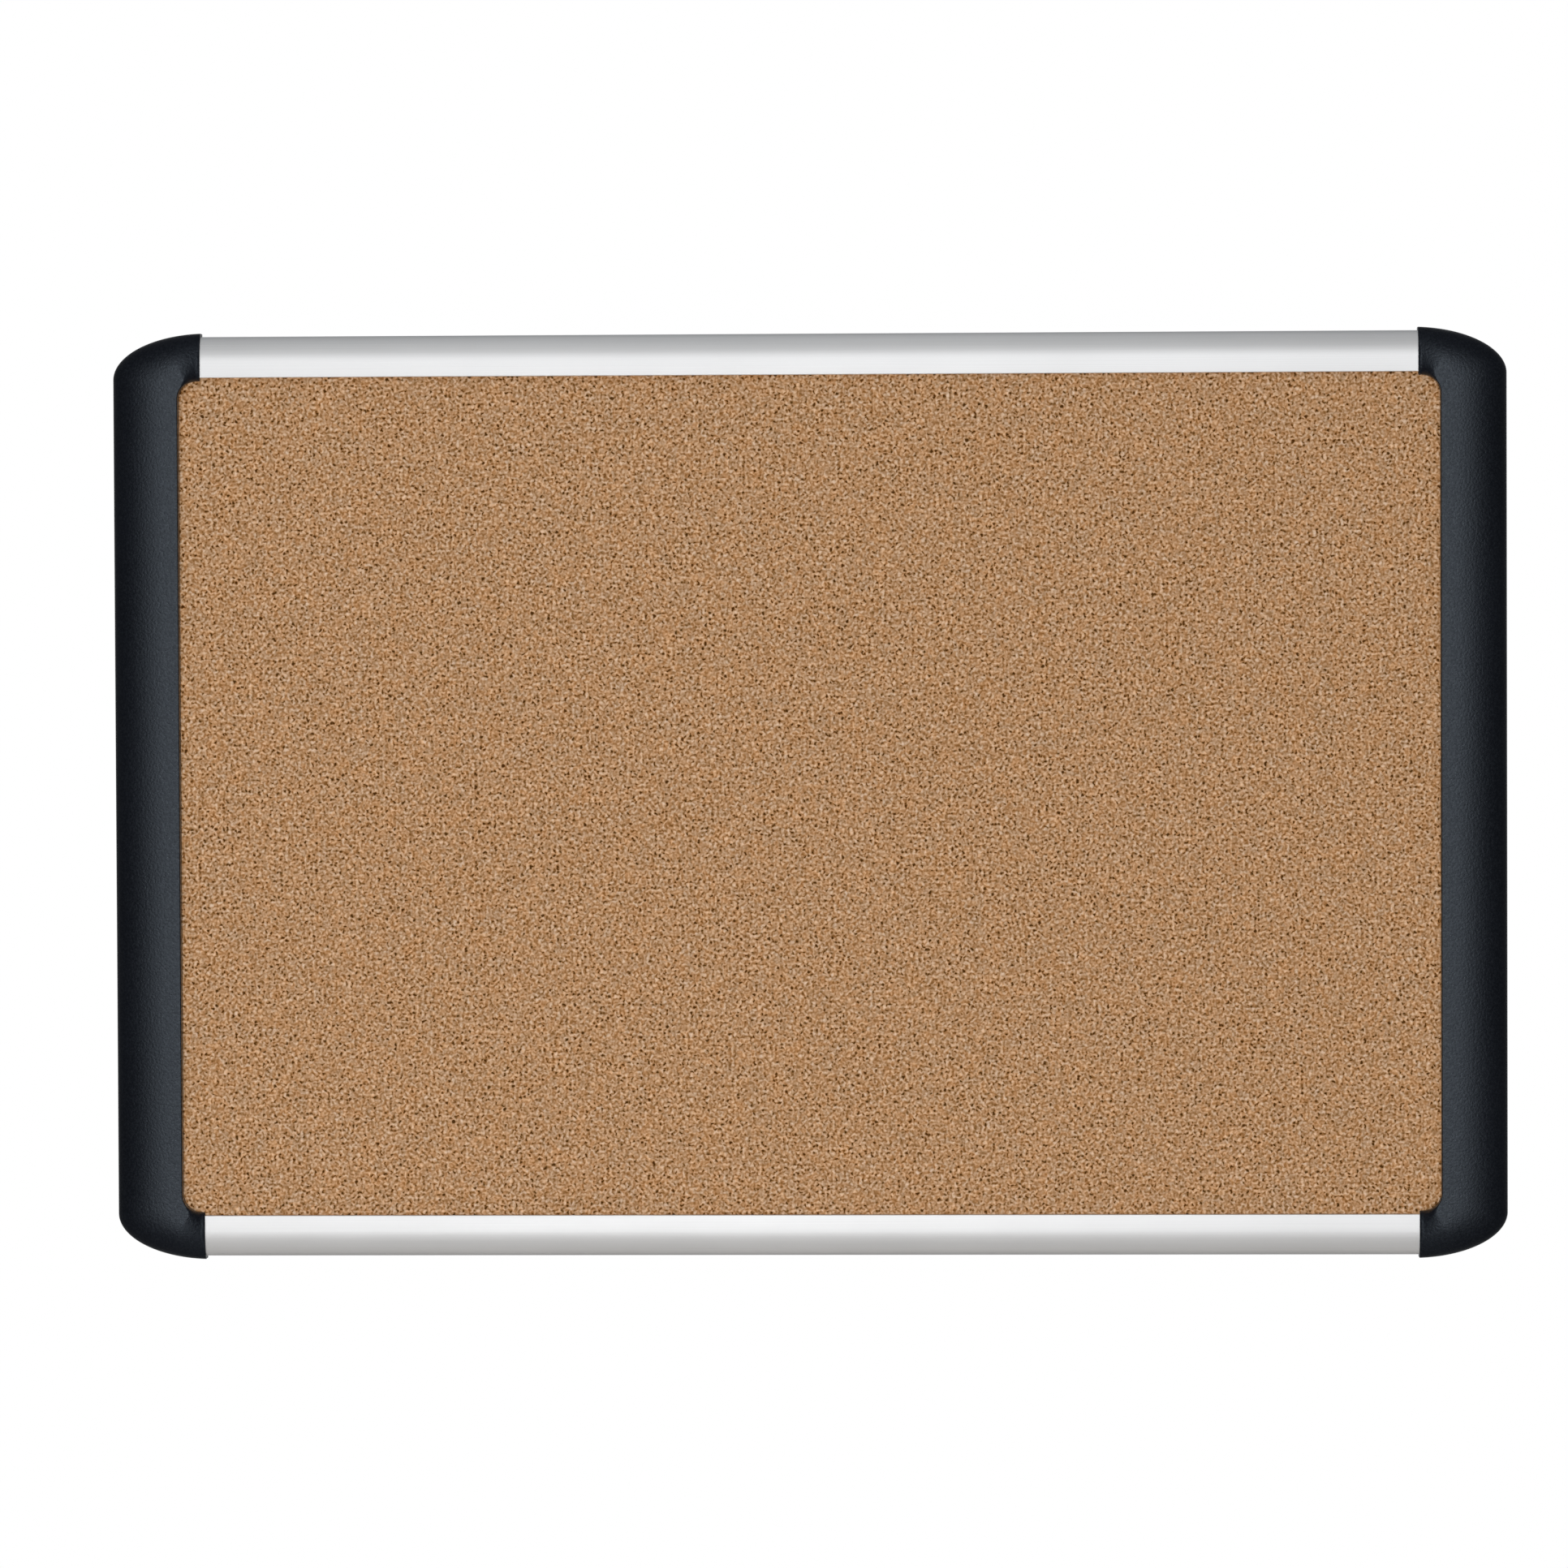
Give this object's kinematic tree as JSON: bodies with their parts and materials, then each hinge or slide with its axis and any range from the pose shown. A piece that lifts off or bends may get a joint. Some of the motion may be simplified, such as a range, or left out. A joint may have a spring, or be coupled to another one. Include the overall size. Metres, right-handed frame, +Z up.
{
  "type": "cork bulletin board",
  "caption": "Landscape wall-hung cork bulletin board: a cork-faced panel framed by aluminium rails and dark side covers with rounded corners, hung on sliding keyhole plates.",
  "frame": {"origin": "middle of the flat strip on the top rail's rear face, under its hang slot, on the wall plane", "axes": "+X across the board to the viewer's right, +Y from the room into the wall, +Z up; the cork faces -Y"},
  "size_m": [0.914, 0.025, 0.6098],
  "materials": {
    "cork": "matte",
    "fibreboard": "matte",
    "liner_paper": "matte",
    "aluminium": "satin",
    "cover_plastic": "matte",
    "zinc_steel": "satin",
    "screw_steel": "satin"
  },
  "bodies": {
    "board": {"cork_sheet": "cork", "fibreboard_core": "fibreboard", "back_liner": "liner_paper", "top_rail": "aluminium", "bottom_rail": "aluminium", "left_side_cover": "cover_plastic", "right_side_cover": "cover_plastic", "corner_key_top_left": "zinc_steel", "key_grub_screw_top_left": "screw_steel", "key_screw_top_left_1": "screw_steel", "key_screw_top_left_2": "screw_steel", "corner_key_top_right": "zinc_steel", "key_grub_screw_top_right": "screw_steel", "key_screw_top_right_1": "screw_steel", "key_screw_top_right_2": "screw_steel", "corner_key_bottom_left": "zinc_steel", "key_grub_screw_bottom_left": "screw_steel", "key_screw_bottom_left_1": "screw_steel", "key_screw_bottom_left_2": "screw_steel", "corner_key_bottom_right": "zinc_steel", "key_grub_screw_bottom_right": "screw_steel", "key_screw_bottom_right_1": "screw_steel", "key_screw_bottom_right_2": "screw_steel", "panel_clip_left_1": "zinc_steel", "clip_screw_left_1": "screw_steel", "panel_clip_left_2": "zinc_steel", "clip_screw_left_2": "screw_steel", "panel_clip_left_3": "zinc_steel", "clip_screw_left_3": "screw_steel", "panel_clip_right_1": "zinc_steel", "clip_screw_right_1": "screw_steel", "panel_clip_right_2": "zinc_steel", "clip_screw_right_2": "screw_steel", "panel_clip_right_3": "zinc_steel", "clip_screw_right_3": "screw_steel"},
    "left_hanger": {"wall_hanger_left": "zinc_steel"},
    "right_hanger": {"wall_hanger_right": "zinc_steel"}
  },
  "joints": [
    {"name": "left_hanger_slide", "type": "slide", "parent": "board", "child": "left_hanger", "axis": [1, 0, 0], "range_m": [-0.136, 0.177]},
    {"name": "right_hanger_slide", "type": "slide", "parent": "board", "child": "right_hanger", "axis": [1, 0, 0], "range_m": [-0.177, 0.136]}
  ]
}
